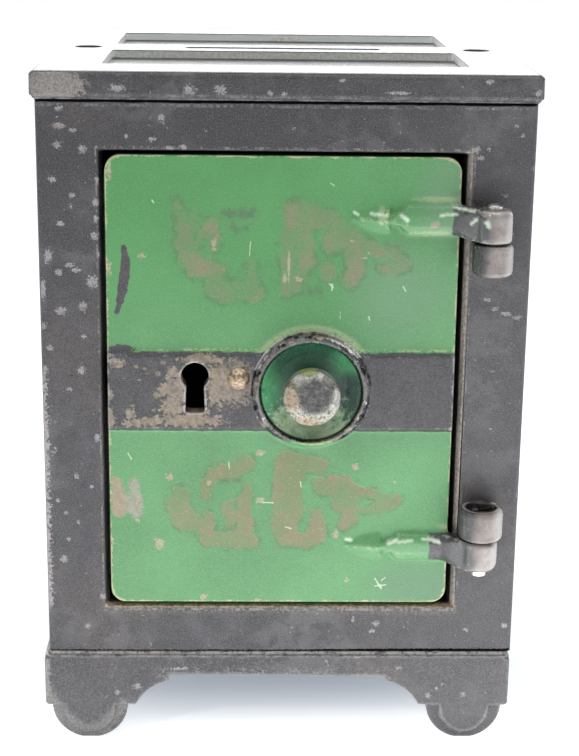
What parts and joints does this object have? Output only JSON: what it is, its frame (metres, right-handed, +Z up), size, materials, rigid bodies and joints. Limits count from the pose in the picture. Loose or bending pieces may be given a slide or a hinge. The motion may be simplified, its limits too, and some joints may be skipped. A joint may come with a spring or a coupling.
{
  "type": "safe coin bank",
  "caption": "Cast-iron safe coin bank: bolted box on caster-shaped feet with a coin slot in the top and a hinged front door with knob, keyhole and sliding bolt.",
  "frame": {"origin": "on the floor, in the middle of the bank's outline seen from above", "axes": "+X to the right, +Y from the door to the back, +Z up"},
  "size_m": [0.102, 0.1106, 0.1448],
  "materials": {
    "black_casting": "worn black japan paint over cast iron, chipped and rubbed to grey-brown at the edges",
    "green_casting": "worn green enamel over cast iron, with a black band, boss rim and hinge roots",
    "nickel": "worn nickel plate, dark in the middle of the face",
    "bright_steel": "rubbed steel wire and strip",
    "dark_steel": "dull brown-grey steel",
    "rivet_metal": "bare rivet head with a brown patina"
  },
  "bodies": {
    "case": {"base_plate": "black_casting", "front_frame": "black_casting", "left_side": "black_casting", "right_side": "black_casting", "back_panel": "black_casting", "top_plate": "black_casting", "left_tie_screw": "dark_steel", "right_tie_screw": "dark_steel", "left_tie_nut": "dark_steel", "right_tie_nut": "dark_steel", "upper_hinge_pin": "bright_steel", "lower_hinge_pin": "bright_steel"},
    "door": {"door": "green_casting", "guide_rivet": "rivet_metal", "guide_washer": "dark_steel", "bolt_spring": "bright_steel", "spring_pin": "dark_steel"},
    "knob": {"knob": "nickel", "knob_washer": "dark_steel"},
    "bolt": {"lock_bolt": "dark_steel"}
  },
  "joints": [
    {"name": "door_hinge", "type": "hinge", "parent": "case", "child": "door", "pos_m": [0.0415, -0.05075, 0.08], "axis": [0, 0, 1], "range_deg": [0, 170]},
    {"name": "knob_turn", "type": "hinge", "parent": "door", "child": "knob", "pos_m": [0.0056, -0.045, 0.0797], "axis": [0, -1, 0], "continuous": true},
    {"name": "bolt_throw", "type": "slide", "parent": "door", "child": "bolt", "axis": [-1, 0, 0], "range_m": [0, 0.004]}
  ]
}
